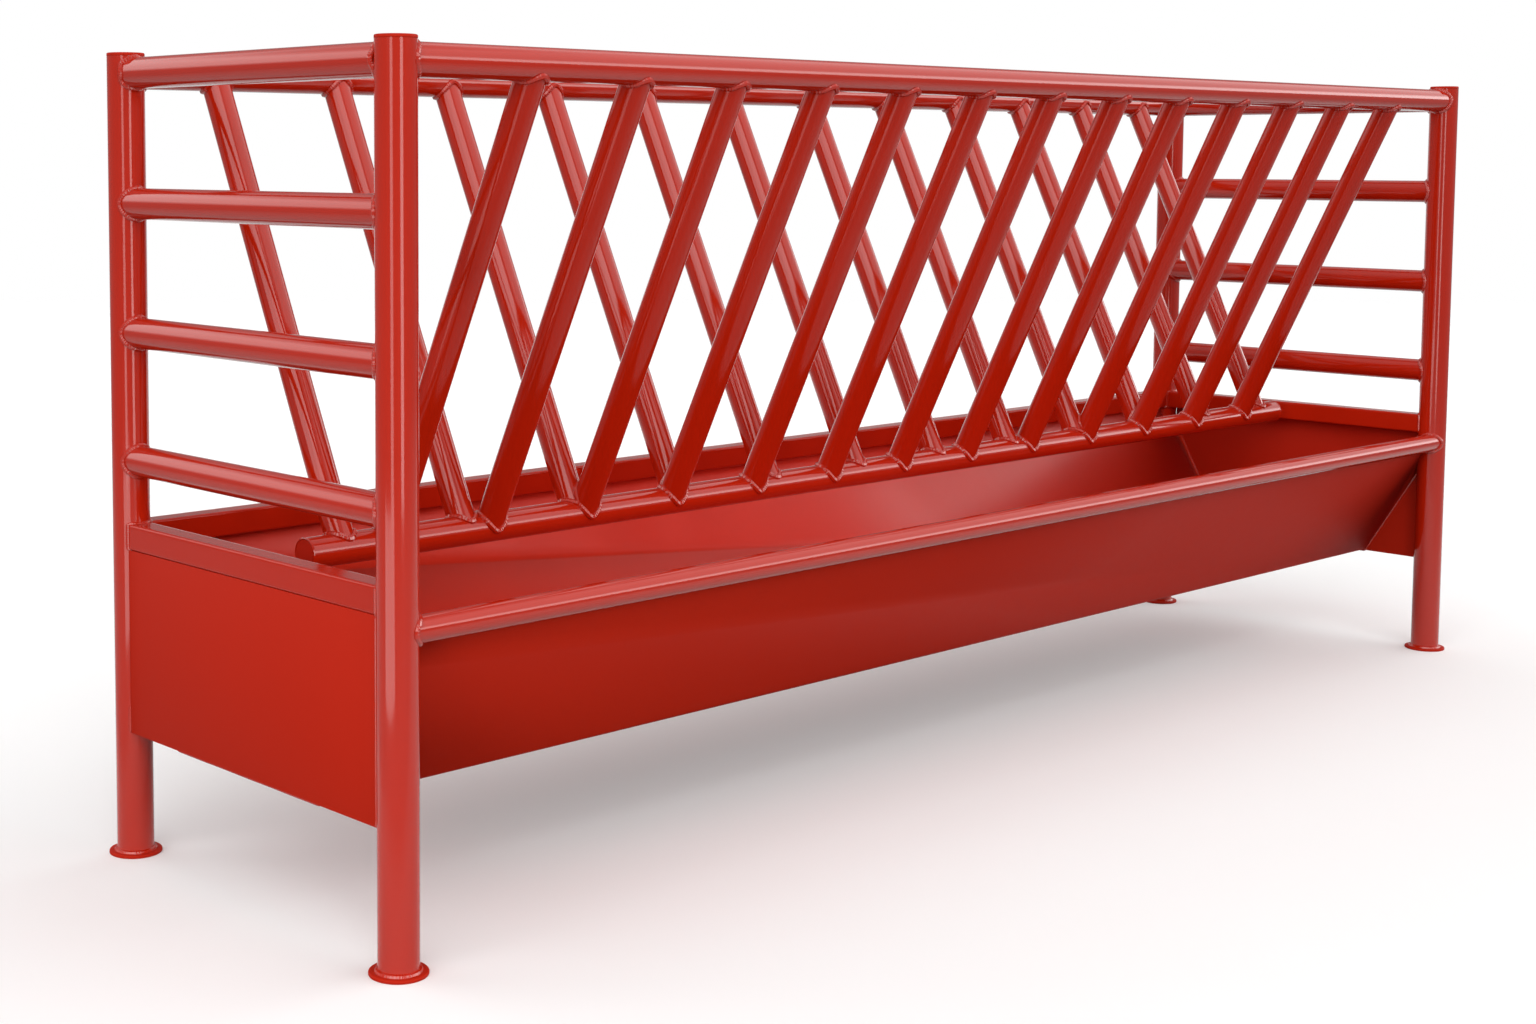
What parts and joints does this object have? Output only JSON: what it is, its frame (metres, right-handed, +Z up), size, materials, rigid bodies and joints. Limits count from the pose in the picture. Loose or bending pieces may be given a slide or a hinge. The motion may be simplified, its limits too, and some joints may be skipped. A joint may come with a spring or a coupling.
{
  "type": "livestock hay feeder",
  "caption": "Free-standing double-sided hay feeder of welded round tube: a V-shaped bar rack over a folded sheet trough, on posts with round foot plates.",
  "frame": {"origin": "on the ground under the middle of the feeder", "axes": "+Z up, X along the feeder, -Y towards the side with the round trough rim"},
  "size_m": [3.784, 0.954, 1.58],
  "materials": {
    "red_paint": "glossy red coat over welded steel"
  },
  "bodies": {
    "root": {"back_bar_01": "red_paint", "back_bar_02": "red_paint", "back_bar_03": "red_paint", "back_bar_04": "red_paint", "back_bar_05": "red_paint", "back_bar_06": "red_paint", "back_bar_07": "red_paint", "back_bar_08": "red_paint", "back_bar_09": "red_paint", "back_bar_10": "red_paint", "back_bar_11": "red_paint", "back_bar_12": "red_paint", "back_top_rail": "red_paint", "centre_rail": "red_paint", "centre_rail_plug_left": "red_paint", "centre_rail_plug_right": "red_paint", "foot_plate_back_left": "red_paint", "foot_plate_back_right": "red_paint", "foot_plate_front_left": "red_paint", "foot_plate_front_right": "red_paint", "front_bar_01": "red_paint", "front_bar_02": "red_paint", "front_bar_03": "red_paint", "front_bar_04": "red_paint", "front_bar_05": "red_paint", "front_bar_06": "red_paint", "front_bar_07": "red_paint", "front_bar_08": "red_paint", "front_bar_09": "red_paint", "front_bar_10": "red_paint", "front_bar_11": "red_paint", "front_bar_12": "red_paint", "front_bar_13": "red_paint", "front_top_rail": "red_paint", "left_end_bar": "red_paint", "left_end_plate": "red_paint", "left_end_rail_1": "red_paint", "left_end_rail_2": "red_paint", "left_end_rail_3": "red_paint", "left_end_top_rail": "red_paint", "post_back_left": "red_paint", "post_back_right": "red_paint", "post_cap_back_left": "red_paint", "post_cap_back_right": "red_paint", "post_cap_front_left": "red_paint", "post_cap_front_right": "red_paint", "post_front_left": "red_paint", "post_front_right": "red_paint", "right_end_bar": "red_paint", "right_end_plate": "red_paint", "right_end_rail_1": "red_paint", "right_end_rail_2": "red_paint", "right_end_rail_3": "red_paint", "right_end_top_rail": "red_paint", "trough_back_rim": "red_paint", "trough_front_rim": "red_paint", "trough_shell": "red_paint"}
  },
  "joints": []
}
